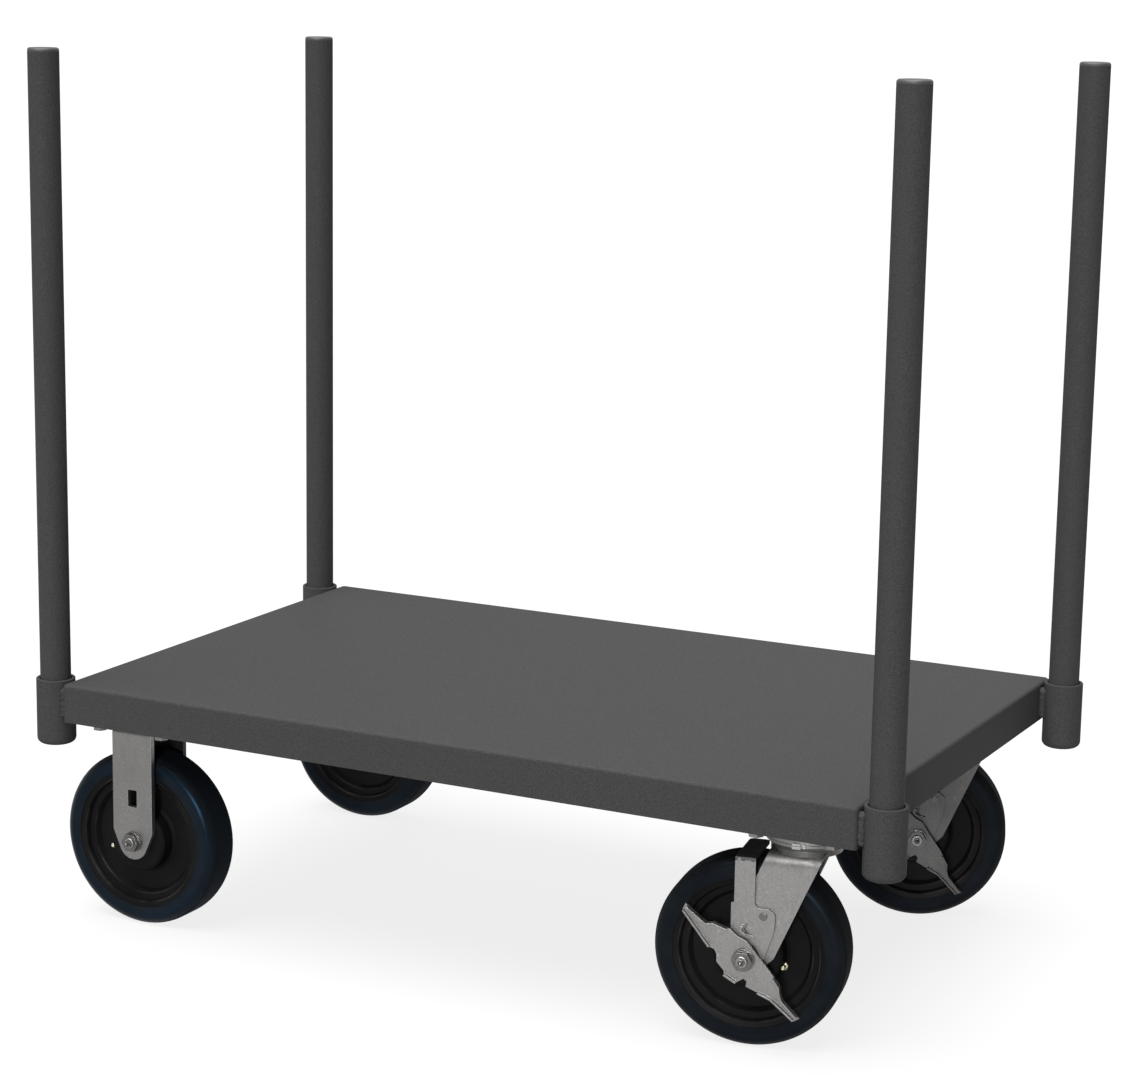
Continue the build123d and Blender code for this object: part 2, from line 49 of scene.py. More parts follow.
# the four corners, and how far in degrees each wheel is turned from the deck's length
CORNERS = ("front_left", "front_right", "rear_left", "rear_right")
HEADING = {"front_left": 0.0, "front_right": 0.0, "rear_left": 10.0, "rear_right": 19.0}
SWIVELS = ("rear_left", "rear_right")
FORKS = ("front_left", "front_right")

# grease fitting in each wheel's hub, in mm from the wheel's centre: along the wheel, to the side and up
HUB_FITTING = {"front_left": (-38.0, -11.0, -14.0), "front_right": (-20.0, -11.0, 35.0),
               "rear_left": (36.0, -11.0, -13.0), "rear_right": (-30.0, -11.0, 26.0)}

# camera: place and reach in metres, angles in degrees, lens and sensor in mm
CAMERA_PLACE = (1.479, -2.909, 1.113)
CAMERA_YAW = 27.01
CAMERA_DOWN = 11.588
CAMERA_ROLL = 0.886
CAMERA_LENS = 93.5
SENSOR_WIDTH = 36.0
CAMERA_REACH = 400.0

# finishes: linear colours, some standing in as painted shade, and how blue each tread is, partly its own
# tint and partly painted sheen
COAT_COLOUR = (0.0262, 0.0262, 0.0262)
ZINC_COLOUR = (0.192, 0.189, 0.185)
# painted shade: darker copies of the zinc and hardware colours for the rear right caster
SHADED_ZINC_COLOUR = (0.074, 0.073, 0.072)
HARDWARE_COLOUR = (0.125, 0.123, 0.121)
SHADED_HARDWARE_COLOUR = (0.095, 0.094, 0.093)
STEEL_COLOUR = (0.42, 0.42, 0.43)
CLIP_COLOUR = (0.31, 0.31, 0.31)
CORE_COLOUR = (0.0037, 0.0036, 0.0037)
TREAD_COLOUR = (0.0038, 0.0043, 0.0048)
TREAD_BLUE = (0.0028, 0.0056, 0.0098)
TREAD_CROWN = (0.0040, 0.0041, 0.0042)
# painted shade: near black for the levers' shoes over the treads
SHOE_PAINTED_SHADE = (0.006, 0.006, 0.006, 1.0)
CAP_DARK = (0.020, 0.020, 0.021, 1.0)
CAP_PALE = (0.034, 0.034, 0.035, 1.0)
# partly painted sheen: how strongly each wheel's tread shows the blue band and blue specular tint
BLUE_AND_SHEEN = {"front_left": 1.0, "front_right": 0.5, "rear_left": 0.3, "rear_right": 0.2}
BRASS_COLOUR = (0.58, 0.53, 0.39)
FLOOR_COLOUR = (0.062, 0.062, 0.062)
FLOOR_GLOW = 0.82
FLOOR_REACH = 150.0

# where finishes and painted light change, in mm: two heights on the levers and yokes where their painted
# shade starts and is full, how far to either side of a rigid fork's middle its painted shade fades in and
# how thick its far leg's unshaded outer skin is, then radii on the wheels, the rings with their half-width,
# for the painted ridge highlights and the partly painted blue band
LEVER_SHADE_FROM, LEVER_SHADE_FULL = 204.5, 205.2
YOKE_SHADE_FROM, YOKE_SHADE_FULL = 198.0, 214.0
FORK_SHADE_ASIDE = 12.0
FORK_UNSHADED_SKIN = 1.2
CORE_INNER_RIDGE = (66.0, 1.1)
CORE_OUTER_RIDGE = (74.6, 1.3)
TREAD_BLUE_BAND = (90.0, 8.0)
TREAD_CROWN_FROM, TREAD_CROWN_FULL = 98.5, 100.3

# how much of the zinc's brightness is left under its painted shade
YOKE_SHADE = 0.48
FORK_SHADE = 0.14

# lights: strength, and in degrees their spread, the turn round Z from shining along +Y, and the tilt from
# shining straight down
LIGHTS = {"key_light": (9.4, 60.0, -25.0, 12.0), "front_light": (3.0, 12.0, 14.0, 78.0),
          "back_light": (0.9, 60.0, 170.0, 50.0)}


# ---------------------------------------------------------------- shader nodes

class Finish:
    """One material, with short calls that add and join its nodes."""

    def __init__(self, name, material=None, **shader_values):
        self.material = material or bpy.data.materials.new(name)
        self.material.use_nodes = True
        self.tree = self.material.node_tree
        self.shader = self.tree.nodes["Principled BSDF"]
        for socket, value in shader_values.items():
            self.shader.inputs[socket.replace("_", " ")].default_value = value
        self.place = self.add("ShaderNodeTexCoord").outputs["Object"]

    def add(self, kind, inputs=None, **settings):
        node = self.tree.nodes.new(kind)
        for setting, value in settings.items():
            setattr(node, setting, value)
        for socket, value in (inputs or {}).items():
            self.feed(node.inputs[socket], value)
        return node

    def feed(self, socket, value):
        """A socket takes another node's output, or a plain value."""
        if isinstance(value, bpy.types.NodeSocket):
            self.tree.links.new(value, socket)
        else:
            socket.default_value = value

    def set(self, socket, value):
        self.feed(self.shader.inputs[socket], value)

    def stretched(self, scale):
        """Object coordinates scaled along each axis."""
        return self.add("ShaderNodeMapping", {"Vector": self.place, "Scale": scale}).outputs["Vector"]

    def noise(self, scale, detail=4.0, roughness=0.55, place=None, distortion=0.0):
        values = {"Vector": place or self.place, "Scale": scale, "Detail": detail,
                  "Roughness": roughness, "Distortion": distortion}
        return self.add("ShaderNodeTexNoise", values).outputs["Fac"]

    def span(self, value, low, high, to_low, to_high):
        """value from low..high spread over to_low..to_high, and held there outside it."""
        inputs = {"Value": value, "From Min": low, "From Max": high, "To Min": to_low, "To Max": to_high}
        return self.add("ShaderNodeMapRange", inputs).outputs["Result"]

    def radius(self, corner):
        """Distance from this corner's axle line."""
        low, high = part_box(f"{corner}_bearing")
        centre = (low + high) / 2.0
        axle = Matrix.Rotation(radians(HEADING[corner]), 3, "Z") @ Vector((0.0, 1.0, 0.0))
        offset = self.add("ShaderNodeVectorMath", {0: self.place, 1: centre}, operation="SUBTRACT")
        moment = self.add("ShaderNodeVectorMath", {0: offset.outputs["Vector"], 1: axle},
                          operation="CROSS_PRODUCT")
        length = self.add("ShaderNodeVectorMath", {0: moment.outputs["Vector"]}, operation="LENGTH")
        return length.outputs["Value"]

    def ring(self, radius, at, width):
        """1 on the circle of this radius in mm, falling to 0 at width to either side."""
        away = self.math("ABSOLUTE", self.math("SUBTRACT", radius, at * MM))
        return self.span(away, 0.0, width * MM, 1.0, 0.0)

    def math(self, operation, a, b=0.0):
        return self.add("ShaderNodeMath", {0: a, 1: b}, operation=operation).outputs["Value"]

    def mix(self, factor, a, b):
        """Colour a where factor is 0 and b where it is 1."""
        node = self.add("ShaderNodeMix", data_type="RGBA")
        self.feed(node.inputs["Factor"], factor)
        self.feed(node.inputs["A"], a)
        self.feed(node.inputs["B"], b)
        return node.outputs["Result"]

    def edges(self, radius, low=0.02, high=0.35):
        """1 along outer and inner edges within this radius, 0 on flat faces."""
        bevel = self.add("ShaderNodeBevel", {"Radius": radius}, samples=4).outputs["Normal"]
        flat = self.add("ShaderNodeNewGeometry").outputs["Normal"]
        dot = self.add("ShaderNodeVectorMath", {0: bevel, 1: flat}, operation="DOT_PRODUCT").outputs["Value"]
        return self.span(self.math("SUBTRACT", 1.0, dot), low, high, 0.0, 1.0)

    def bumps(self, *layers, soft_edge=0.0):
        """Bump layers of (height, depth in metres), the first one deepest, on edges rounded by soft_edge."""
        normal = None
        if soft_edge:
            normal = self.add("ShaderNodeBevel", {"Radius": soft_edge}, samples=4).outputs["Normal"]
        for height, depth in layers:
            values = {"Height": height, "Distance": depth, "Strength": 1.0}
            if normal:
                values["Normal"] = normal
            normal = self.add("ShaderNodeBump", values).outputs["Normal"]
        self.set("Normal", normal)


def tint(colour, factor):
    return (*(channel * factor for channel in colour[:3]), 1.0)


def powder_coat(name, colour=COAT_COLOUR):
    """Charcoal textured powder coat: fine grain over orange peel, rubbed a little lighter on the edges."""
    coat = Finish(name, Specular_IOR_Level=0.03)
    grain = coat.noise(800.0, 2.0, 0.65)
    peel = coat.noise(260.0, 3.0, 0.5)
    clouds = coat.noise(7.0, 5.0, 0.6)
    shade = coat.mix(coat.span(grain, 0.32, 0.68, 0.0, 1.0), tint(colour, 0.68), tint(colour, 1.36))
    shade = coat.mix(coat.span(clouds, 0.35, 0.65, 0.0, 0.07), shade, tint(colour, 1.35))
    rub = coat.math("MULTIPLY", coat.edges(0.0016), coat.span(coat.noise(90.0), 0.35, 0.65, 0.15, 0.5))
    coat.set("Base Color", coat.mix(rub, shade, tint(colour, 2.0)))
    coat.set("Roughness", coat.span(clouds, 0.3, 0.7, 0.60, 0.66))
    coat.bumps((peel, 0.00012), (grain, 0.00011), soft_edge=0.0008)
    return coat.material


def zinc_plate(name, colour=ZINC_COLOUR, along=(1.0, 1.0, 1.0), roughness=(0.30, 0.52)):
    """Bright zinc plate on stamped steel: clouded, drawn out along the piece, with small scratches and
    painted highlights along its edges.
    """
    zinc = Finish(name, Metallic=1.0)
    clouds = zinc.noise(34.0, 6.0, 0.62, zinc.stretched(along), 0.3)
    fine = zinc.noise(620.0, 4.0, 0.7)
    scratches = zinc.noise(900.0, 2.0, 0.5, zinc.stretched((1.0, 1.0, 0.06)))
    shade = zinc.mix(zinc.span(clouds, 0.32, 0.68, 0.0, 1.0), tint(colour, 0.86), tint(colour, 1.14))
    shade = zinc.mix(zinc.span(fine, 0.42, 0.62, 0.0, 0.55), shade, tint(colour, 0.62))
    pits = zinc.span(zinc.noise(240.0, 5.0, 0.7), 0.60, 0.66, 0.0, 0.45)
    shade = zinc.mix(pits, shade, tint(colour, 1.75))
    # painted highlight: the edges are lightened towards twice the colour
    edge = zinc.math("MULTIPLY", zinc.edges(0.0010), 0.6)
    zinc.set("Base Color", zinc.mix(edge, shade, tint(colour, 2.0)))
    rough = zinc.span(clouds, 0.3, 0.7, roughness[1], roughness[0])
    zinc.set("Roughness", zinc.math("ADD", rough, zinc.span(scratches, 0.4, 0.7, 0.0, 0.08)))
    zinc.bumps((clouds, 0.00010), (fine, 0.00006), (scratches, 0.000012), soft_edge=0.0008)
    return zinc.material


def lever_plate(name, colour=ZINC_COLOUR):
    """Zinc-plated lever whose shoe, bent over the tread, has painted shade: near black, speckled where the
    painted shade ends.
    """
    lever = zinc_plate(name, colour, along=(1.0, 1.0, 0.5))
    paint = Finish(name, lever)
    height = paint.add("ShaderNodeSeparateXYZ", {"Vector": paint.place}).outputs["Z"]
    ragged = paint.math("ADD", height, paint.span(paint.noise(330.0, 3.0), 0.3, 0.7, -0.0022, 0.0022))
    # painted shade: above this ragged height the shoe turns near black and loses its metal
    shoe_shade = paint.span(ragged, LEVER_SHADE_FROM * MM, LEVER_SHADE_FULL * MM, 0.0, 1.0)
    plated = paint.shader.inputs["Base Color"].links[0].from_socket
    paint.set("Base Color", paint.mix(shoe_shade, plated, SHOE_PAINTED_SHADE))
    paint.set("Metallic", paint.span(shoe_shade, 0.0, 1.0, 1.0, 0.0))
    return lever


def shaded_plate(name, axis, start, end, shade, colour=ZINC_COLOUR, stop=10.0):
    """Zinc plate with painted shade, darkened to this shade from start to end along the axis, and bright
    past stop.
    """
    plate = zinc_plate(name, colour, along=(1.0, 1.0, 0.5))
    paint = Finish(name, plate)
    distance = paint.add("ShaderNodeSeparateXYZ", {"Vector": paint.place}).outputs[axis]
    ragged = paint.math("ADD", distance, paint.span(paint.noise(150.0, 4.0, 0.7), 0.3, 0.7, -0.004, 0.004))
    plated = paint.shader.inputs["Base Color"].links[0].from_socket
    # painted shade: the plate's colour is multiplied by the shade over this span
    shaded = paint.add("ShaderNodeMix", data_type="RGBA", blend_type="MULTIPLY")
    inside = paint.span(distance, stop, stop + 0.0005, 1.0, 0.0)
    reached = paint.span(ragged, start, end, 0.0, 1.0)
    paint.feed(shaded.inputs["Factor"], paint.math("MULTIPLY", inside, reached))
    paint.feed(shaded.inputs["A"], plated)
    paint.feed(shaded.inputs["B"], (shade, shade, shade, 1.0))
    paint.set("Base Color", shaded.outputs["Result"])
    return plate


def yoke_plate(name, colour=ZINC_COLOUR):
    """Zinc-plated yoke with painted shade at its crown, round the bend under the swivel ring."""
    return shaded_plate(name, "Z", YOKE_SHADE_FROM * MM, YOKE_SHADE_FULL * MM, YOKE_SHADE, colour)


def fork_plate(name, corner):
    """Zinc-plated rigid fork with painted shadow on the inner face of its far leg."""
    low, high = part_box(f"{corner}_fork")
    centre = (low.y + high.y) / 2.0
    aside = FORK_SHADE_ASIDE * MM
    # painted shadow: the far leg darkens past the fork's middle, except its outer skin
    return shaded_plate(name, "Y", centre - aside, centre + aside, FORK_SHADE,
                        stop=high.y - FORK_UNSHADED_SKIN * MM)


def core_plastic(name, corner):
    """Black moulded plastic: faintly mottled satin skin, with painted highlights on the ridges of its rim.
    """
    core = Finish(name, Specular_IOR_Level=0.04)
    radius = core.radius(corner)
    skin = core.noise(520.0, 3.0, 0.55)
    flow = core.noise(16.0, 5.0, 0.6)
    shade = core.mix(core.span(flow, 0.3, 0.7, 0.0, 1.0), tint(CORE_COLOUR, 0.7), tint(CORE_COLOUR, 1.3))
    # painted highlight: thin paler circles on the rim's ridges, in patches
    ridges = core.math("MAXIMUM", core.ring(radius, *CORE_INNER_RIDGE), core.ring(radius, *CORE_OUTER_RIDGE))
    ridge_highlight = core.math("MULTIPLY", ridges, core.span(core.noise(24.0), 0.42, 0.62, 0.0, 0.55))
    core.set("Base Color", core.mix(ridge_highlight, shade, tint(CORE_COLOUR, 9.0)))
    core.set("Roughness", core.span(flow, 0.3, 0.7, 0.42, 0.58))
    core.bumps((flow, 0.00018), (skin, 0.00003), soft_edge=0.0010)
    return core.material


def tread_rubber(name, corner):
    """Near-black polyurethane with a blue band, partly its own tint and partly painted sheen that is
    stronger on the wheels catching more light, glossy sides and a dull crown where it rolls.
    """
    blue_and_sheen = BLUE_AND_SHEEN[corner]
    tread = Finish(name, Specular_IOR_Level=0.03 + 0.07 * blue_and_sheen,
                   Specular_Tint=(0.70 - 0.52 * blue_and_sheen, 0.80 - 0.26 * blue_and_sheen, 1.0, 1.0))
    radius = tread.radius(corner)
    flow = tread.noise(22.0, 5.0, 0.6)
    skin = tread.noise(300.0, 3.0, 0.5)
    ragged = tread.math("ADD", radius, tread.span(skin, 0.3, 0.7, -0.0008, 0.0008))
    crown = tread.span(ragged, TREAD_CROWN_FROM * MM, TREAD_CROWN_FULL * MM, 0.0, 1.0)
    shade = tread.mix(tread.span(flow, 0.3, 0.7, 0.0, 1.0), tint(TREAD_COLOUR, 0.7), tint(TREAD_COLOUR, 1.3))
    # partly painted sheen: a blue band in patches on the sides, stronger on the wheels that catch more light
    patches = tread.span(tread.noise(7.0, 3.0), 0.4, 0.6, 0.25 * blue_and_sheen, blue_and_sheen)
    blue = tread.math("MULTIPLY", tread.ring(radius, *TREAD_BLUE_BAND), patches)
    shade = tread.mix(blue, shade, tint(TREAD_BLUE, 1.0))
    tread.set("Base Color", tread.mix(crown, shade, tint(TREAD_CROWN, 1.0)))
    side_roughness = tread.span(flow, 0.3, 0.7, 0.24, 0.36)
    tread.set("Roughness", tread.math("ADD", side_roughness, tread.math("MULTIPLY", crown, 0.55)))
    tread.bumps((flow, 0.00015), (skin, 0.00003), soft_edge=0.0008)
    return tread.material


def steel(name, colour=STEEL_COLOUR, roughness=(0.22, 0.38)):
    """Bare or lightly oiled steel."""
    return zinc_plate(name, colour, roughness=roughness)


def cap_plastic(name):
    """Dark grey moulded cap with a fine spark texture."""
    cap = Finish(name, Specular_IOR_Level=0.35)
    grain = cap.noise(1400.0, 2.0, 0.6)
    cap.set("Base Color", cap.mix(cap.span(grain, 0.3, 0.7, 0.0, 1.0), CAP_DARK, CAP_PALE))
    cap.set("Roughness", cap.span(cap.noise(40.0), 0.3, 0.7, 0.45, 0.62))
    cap.bumps((grain, 0.00005), soft_edge=0.0006)
    return cap.material


FINISHES = {
    "powder_coat": powder_coat("powder_coat"),
    "zinc_plate": zinc_plate("zinc_plate", along=(1.0, 1.0, 0.35)),
    "bearing_steel": steel("bearing_steel"),
    "cap_plastic": cap_plastic("cap_plastic"),
    "lever_plate": lever_plate("lever_plate"),
    "yoke_plate": yoke_plate("yoke_plate"),
    "axle_hardware": zinc_plate("axle_hardware", HARDWARE_COLOUR, roughness=(0.22, 0.38)),
    "brass": zinc_plate("brass", BRASS_COLOUR),
    "clip_steel": steel("clip_steel", CLIP_COLOUR, (0.40, 0.55)),
}
for corner in CORNERS:
    FINISHES[f"{corner}_wheel_core"] = core_plastic(f"{corner}_core_plastic", corner)
    FINISHES[f"{corner}_tread"] = tread_rubber(f"{corner}_tread_rubber", corner)
for corner in FORKS:
    FINISHES[f"{corner}_fork"] = fork_plate(f"{corner}_fork_plate", corner)
# painted shade: the rear right caster's yoke, lever, pedal, nut and rivet get darker copies of their zinc
# finishes
FINISHES["rear_right_yoke"] = yoke_plate("rear_right_yoke_plate", SHADED_ZINC_COLOUR)
FINISHES["rear_right_brake_lever"] = lever_plate("rear_right_lever_plate", SHADED_ZINC_COLOUR)
FINISHES["rear_right_brake_pedal"] = zinc_plate("rear_right_pedal_plate", SHADED_ZINC_COLOUR)
for ending in ("axle_hardware", "brake_rivet"):
    FINISHES[f"rear_right_{ending}"] = zinc_plate(f"rear_right_{ending}_plate", SHADED_HARDWARE_COLOUR,
                                                  roughness=(0.20, 0.36))
FINISH_OF_ENDING = {
    "brake_lever": "lever_plate",
    "yoke": "yoke_plate",
    "hardware": "axle_hardware",
    "rivet": "axle_hardware",
    "bearing": "bearing_steel",
    "balls": "bearing_steel",
    "post_cap": "cap_plastic",
    "deck_pan": "powder_coat",
    "channel": "powder_coat",
    "centre_rib": "powder_coat",
    "welds": "powder_coat",
    "nuts": "powder_coat",
    "socket": "powder_coat",
    "post": "powder_coat",
}
for name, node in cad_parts.items():
    finish = name if name in FINISHES else next(
        (finish for ending, finish in FINISH_OF_ENDING.items() if name.endswith(ending)), "zinc_plate")
    for material_slot in node.material_slots:
        material_slot.material = FINISHES[finish]


# ---------------------------------------------------------------- pieces the CAD leaves out or simplifies
# in mm and degrees, unless they say otherwise

SHARP_ANGLE = 38.0


def piece(name, mesh, body, finish):
    """Makes the mesh a piece that moves with this body."""
    data = bpy.data.meshes.new(name)
    mesh.to_mesh(data)
    mesh.free()
    data.shade_smooth()
    data.set_sharp_from_angle(angle=radians(SHARP_ANGLE))
    data.materials.append(FINISHES[finish])
    thing = bpy.data.objects.new(name, data)
    bpy.context.scene.collection.objects.link(thing)
    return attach(thing, body)


def skin(mesh, rings):
    """Faces between rings of points in order, with both ends closed."""
    rings = [[mesh.verts.new(point) for point in ring] for ring in rings]
    count = len(rings[0])
    for low, high in zip(rings, rings[1:]):
        for i in range(count):
            j = (i + 1) % count
            mesh.faces.new((low[i], low[j], high[j], high[i]))
    mesh.faces.new(rings[0][::-1])
    mesh.faces.new(rings[-1])


def lathe(mesh, place, profile, sides=20):
    """Profile of (radius, height) in mm turned about the Z axis of place."""
    turns = [2.0 * pi * i / sides for i in range(sides)]
    skin(mesh, [[place @ Vector((radius * cos(a), radius * sin(a), height)) for a in turns]
                for radius, height in profile])


BEAD_SIDES = 14
STEPS_PER_RIDGE = 5
RIDGE_PITCH = 2.4
SOCKET_BEAD_RADIUS = 5.0
SOCKET_BEAD_OUT = 2.4
SOCKET_BEAD_ASIDE = 11.8
SOCKET_BEAD_ABOVE = 4.0
SOCKET_BEAD_BELOW = 1.5
SOCKET_BEAD_FACING = (0.55, 0.83)
STITCH_LENGTH = 40.0
STITCH_GAP = 0.8
CHANNEL_STITCH_RADIUS = 3.4
CHANNEL_STITCHES = (-235.0, -95.0, 55.0, 195.0)
RIB_STITCH_RADIUS = 3.2
RIB_STITCHES = (-290.0, -120.0, 80.0, 250.0)


def weld_bead(mesh, start, end, radius, outward):
    """Weld bead from start to end, ridged like overlapping scales that bow where they face outward."""
    run = end - start
    along = run.normalized()
    side = along.cross(outward)
    ridges = max(3, round(run.length / (RIDGE_PITCH * MM)))
    steps = ridges * STEPS_PER_RIDGE
    rings = []
    for step in range(steps + 1):
        part = step / steps
        ridge = abs(sin(pi * part * ridges))
        from_end = min(part, 1.0 - part) * ridges
        ends = sin(pi * min(1.0, from_end) / 2.0)
        # swollen at each ridge, a little uneven along the run, and tapered at both ends
        size = radius * (0.86 + 0.14 * ridge + 0.05 * sin(part * 29.0)) * (0.45 + 0.55 * ends)
        centre = start + run * part + side * (0.04 * radius * sin(part * 17.0))
        turns = (2.0 * pi * i / BEAD_SIDES for i in range(BEAD_SIDES))
        rings.append([centre + (outward * cos(a) + side * sin(a)) * size
                      - along * (0.5 * radius * max(0.0, cos(a))) for a in turns])
    skin(mesh, rings)


def socket_beads():
    """Ridged beads down both sides of each socket."""
    mesh = bmesh.new()
    low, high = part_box("socket_welds")
    for corner in CORNERS:
        tube_low, tube_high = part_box(f"{corner}_socket")
        centre = (tube_low + tube_high) / 2.0
        along = 1.0 if centre.x > 0.0 else -1.0
        deck_low, deck_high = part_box("deck_pan")
        end = deck_high.x if along > 0.0 else deck_low.x
        x = end + along * SOCKET_BEAD_OUT * MM
        for side in (-1.0, 1.0):
            place = Vector((x, centre.y + side * SOCKET_BEAD_ASIDE * MM, 0.0))
            bottom = place + Vector((0.0, 0.0, low.z + SOCKET_BEAD_ABOVE * MM))
            top = place + Vector((0.0, 0.0, high.z - SOCKET_BEAD_BELOW * MM))
            outward = Vector((along * SOCKET_BEAD_FACING[0], side * SOCKET_BEAD_FACING[1], 0.0)).normalized()
            weld_bead(mesh, bottom, top, SOCKET_BEAD_RADIUS * MM, outward)
    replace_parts(piece("socket_beads", mesh, "deck", "powder_coat"), "socket_welds")


def underside_beads():
    """Short beads that hold the channels to the underside of the deck."""
    mesh = bmesh.new()
    down = Vector((0.0, 0.0, -1.0))
    for name in ("front_cross_channel", "rear_cross_channel"):
        low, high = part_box(name)
        for x, side in ((low.x, -1.0), (high.x, 1.0)):
            for y in CHANNEL_STITCHES:
                start = Vector((x + side * STITCH_GAP * MM, y * MM, high.z - STITCH_GAP * MM))
                end = start + Vector((0.0, STITCH_LENGTH * MM, 0.0))
                outward = (down + Vector((side, 0.0, 0.0))).normalized()
                weld_bead(mesh, start, end, CHANNEL_STITCH_RADIUS * MM, outward)
    low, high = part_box("centre_rib")
    for y, side in ((low.y, -1.0), (high.y, 1.0)):
        for x in RIB_STITCHES:
            start = Vector((x * MM, y + side * STITCH_GAP * MM, high.z - STITCH_GAP * MM))
            end = start + Vector((STITCH_LENGTH * MM, 0.0, 0.0))
            outward = (down + Vector((0.0, side, 0.0))).normalized()
            weld_bead(mesh, start, end, RIB_STITCH_RADIUS * MM, outward)
    piece("underside_beads", mesh, "deck", "powder_coat")


FITTING_HEXAGON = [(3.3, 0.0), (3.5, 0.3), (3.5, 2.9), (3.2, 3.2)]
FITTING_NIPPLE = [(1.9, 2.8), (1.9, 4.0), (1.45, 4.6), (1.45, 5.6), (2.2, 6.6), (2.35, 7.4), (2.0, 8.3),
                  (1.1, 9.0), (0.6, 9.0), (0.5, 8.6)]
HUB_FITTING_SIZE = 1.25
RING_FITTING_SIZE = 0.62
RING_FITTING_ANGLE = -50.0
RING_FITTING_RADIUS = 41.5
RING_FITTING_HEIGHT = 226.2


def grease_fitting(name, body, place, pointing, size):
    """Small grease nipple with a hexagon, standing on place and pointing outwards."""
    mesh = bmesh.new()
    frame_at = Matrix.Translation(place) @ pointing.to_track_quat("Z", "Y").to_matrix().to_4x4()
    frame_at = frame_at @ Matrix.Scale(MM * size, 4)
    lathe(mesh, frame_at, FITTING_HEXAGON, sides=6)
    lathe(mesh, frame_at, FITTING_NIPPLE)
    piece(name, mesh, body, "brass")


def grease_fittings():
    """One in each wheel's hub, on its outer face, and one in each swivel ring."""
    for corner in CORNERS:
        turn = Matrix.Rotation(radians(HEADING[corner]), 3, "Z")
        low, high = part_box(f"{corner}_bearing")
        place = (low + high) / 2.0 + turn @ (Vector(HUB_FITTING[corner]) * MM)
        pointing = turn @ Vector((0.0, -1.0, 0.0))
        grease_fitting(f"{corner}_hub_fitting", f"{corner}_wheel", place, pointing, HUB_FITTING_SIZE)
    for corner in SWIVELS:
        low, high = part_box(f"{corner}_race_ring")
        centre = (low + high) / 2.0
        turn = Matrix.Rotation(radians(HEADING[corner] + RING_FITTING_ANGLE), 3, "Z")
        pointing = turn @ Vector((1.0, 0.0, 0.0))
        place = Vector((centre.x, centre.y, RING_FITTING_HEIGHT * MM)) + pointing * RING_FITTING_RADIUS * MM
        grease_fitting(f"{corner}_ring_fitting", f"{corner}_swivel", place, pointing, RING_FITTING_SIZE)


# each clip's angle from the heading, width, bottom and top, then radii and heights that both clips share
CLIPS = ((-93.0, 9.3, 223.6, 230.0), (-82.5, 3.6, 224.8, 229.2))
CLIP_ON_RING = 41.6
CLIP_PAST_RACE = 42.3
CLIP_OUTER = 43.7
CLIP_STEP_LOW = 227.0
CLIP_STEP_HIGH = 227.2
CLIP_ROUNDING = 0.35


def ring_clips():
    """A wide and a narrow clip on each swivel ring, reaching up past the race above without touching it."""
    for corner in SWIVELS:
        low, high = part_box(f"{corner}_race_ring")
        axis = Vector(((low.x + high.x) / 2.0, (low.y + high.y) / 2.0, 0.0))
        mesh = bmesh.new()
        for angle, width, bottom, top in CLIPS:
            turn = Matrix.Translation(axis) @ Matrix.Rotation(radians(HEADING[corner] + angle), 4, "Z")
            blocks = (CLIP_ON_RING, bottom, CLIP_STEP_HIGH), (CLIP_PAST_RACE, CLIP_STEP_LOW, top)
            for inner, from_z, to_z in blocks:
                size = Vector((CLIP_OUTER - inner, width, to_z - from_z)) * MM
                middle = Vector(((inner + CLIP_OUTER) / 2.0, 0.0, (from_z + to_z) / 2.0)) * MM
                shape = turn @ Matrix.Translation(middle) @ Matrix.Diagonal((*size, 1.0))
                bmesh.ops.create_cube(mesh, size=1.0, matrix=shape)
        bmesh.ops.bevel(mesh, geom=mesh.edges[:], offset=CLIP_ROUNDING * MM, segments=2, affect="EDGES")
        piece(f"{corner}_ring_clips", mesh, f"{corner}_swivel", "clip_steel")


socket_beads()
underside_beads()
grease_fittings()
ring_clips()


# ---------------------------------------------------------------- floor, light and camera

def floor():
    """Pale seamless floor, far past the truck, that can be seen through from below."""
    mesh = bmesh.new()
    bmesh.ops.create_grid(mesh, x_segments=2, y_segments=2, size=FLOOR_REACH)
    data = bpy.data.meshes.new("floor")
    mesh.to_mesh(data)
    mesh.free()
    plane = bpy.data.objects.new("floor", data)
    bpy.context.scene.collection.objects.link(plane)
    paper = Finish("floor_paper", Specular_IOR_Level=0.1, Roughness=0.9, Emission_Color=(1.0, 1.0, 1.0, 1.0),
                   Emission_Strength=FLOOR_GLOW)
    fibres = paper.noise(30.0, 3.0)
    paper.set("Base Color", paper.mix(fibres, tint(FLOOR_COLOUR, 0.995), tint(FLOOR_COLOUR, 1.005)))
    below = paper.add("ShaderNodeNewGeometry").outputs["Backfacing"]
    clear = paper.add("ShaderNodeBsdfTransparent").outputs["BSDF"]
    both = paper.add("ShaderNodeMixShader", {0: below, 1: paper.shader.outputs["BSDF"], 2: clear})
    paper.feed(paper.tree.nodes["Material Output"].inputs["Surface"], both.outputs["Shader"])
    data.materials.append(paper.material)


def sun(name, strength, spread, turn, tilt):
    """Light from far away."""
    lamp = bpy.data.lights.new(name, "SUN")
    lamp.energy = strength
    lamp.angle = radians(spread)
    place = bpy.data.objects.new(name, lamp)
    place.rotation_euler = (radians(tilt), 0.0, radians(turn))
    bpy.context.scene.collection.objects.link(place)


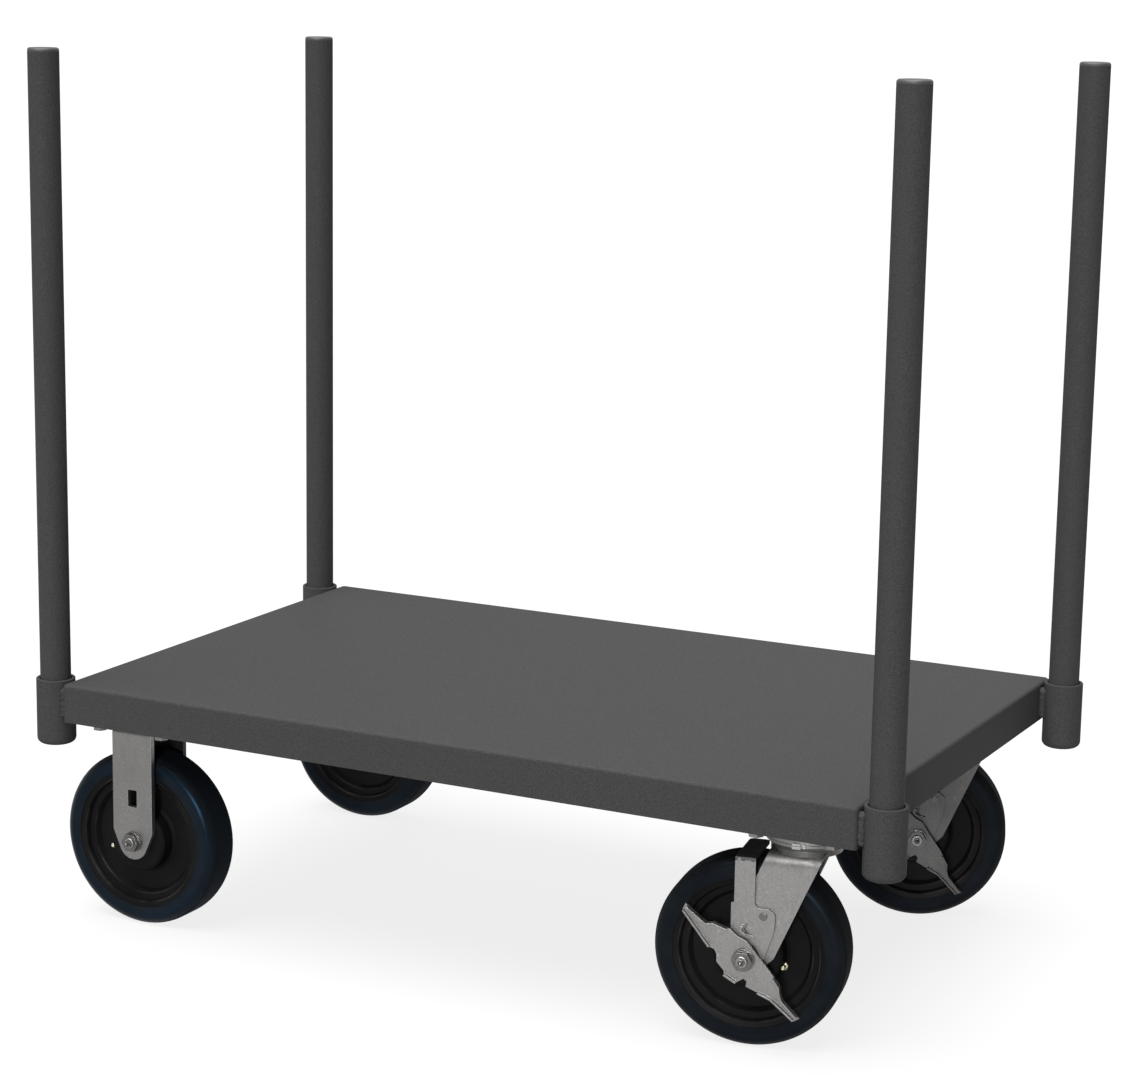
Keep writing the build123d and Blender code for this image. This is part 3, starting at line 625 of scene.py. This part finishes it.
def studio():
    """White horizon under a dimmer dome that darkens towards +X, and the lights."""
    world = bpy.data.worlds.new("studio")
    bpy.context.scene.world = world
    world.use_nodes = True
    tree = world.node_tree
    sky = tree.nodes["Background"]
    direction = tree.nodes.new("ShaderNodeTexCoord")
    parts = tree.nodes.new("ShaderNodeSeparateXYZ")
    ramp = tree.nodes.new("ShaderNodeMapRange")
    tree.links.new(direction.outputs["Generated"], parts.inputs["Vector"])
    tree.links.new(parts.outputs["Z"], ramp.inputs["Value"])
    for socket, value in {"From Min": 0.05, "From Max": 0.25, "To Min": 0.95, "To Max": 0.30}.items():
        ramp.inputs[socket].default_value = value
    shade = tree.nodes.new("ShaderNodeMapRange")
    tree.links.new(parts.outputs["X"], shade.inputs["Value"])
    for socket, value in {"From Min": 0.0, "From Max": 0.6, "To Min": 1.0, "To Max": 0.22}.items():
        shade.inputs[socket].default_value = value
    product = tree.nodes.new("ShaderNodeMath")
    product.operation = "MULTIPLY"
    tree.links.new(ramp.outputs["Result"], product.inputs[0])
    tree.links.new(shade.outputs["Result"], product.inputs[1])
    tree.links.new(product.outputs["Value"], sky.inputs["Color"])
    sky.inputs["Strength"].default_value = 1.0
    for name, values in LIGHTS.items():
        sun(name, *values)


def camera():
    """Camera a little above the posts' tops, looking at the truck's left side and rear end."""
    yaw, down, roll = (radians(angle) for angle in (CAMERA_YAW, CAMERA_DOWN, CAMERA_ROLL))
    ahead = Vector((-sin(yaw) * cos(down), cos(yaw) * cos(down), -sin(down)))
    right = Vector((cos(yaw), sin(yaw), 0.0))
    up = right.cross(ahead)
    rolled_right = right * cos(roll) + up * sin(roll)
    rolled_up = up * cos(roll) - right * sin(roll)
    lens = bpy.data.cameras.new("camera")
    lens.lens = CAMERA_LENS
    lens.sensor_width = SENSOR_WIDTH
    lens.clip_end = CAMERA_REACH
    view = bpy.data.objects.new("camera", lens)
    view.matrix_world = (Matrix.Translation(CAMERA_PLACE)
                         @ Matrix((rolled_right, rolled_up, -ahead)).transposed().to_4x4())
    bpy.context.scene.collection.objects.link(view)
    bpy.context.scene.camera = view


floor()
studio()
camera()
bpy.context.scene.view_settings.view_transform = "Standard"
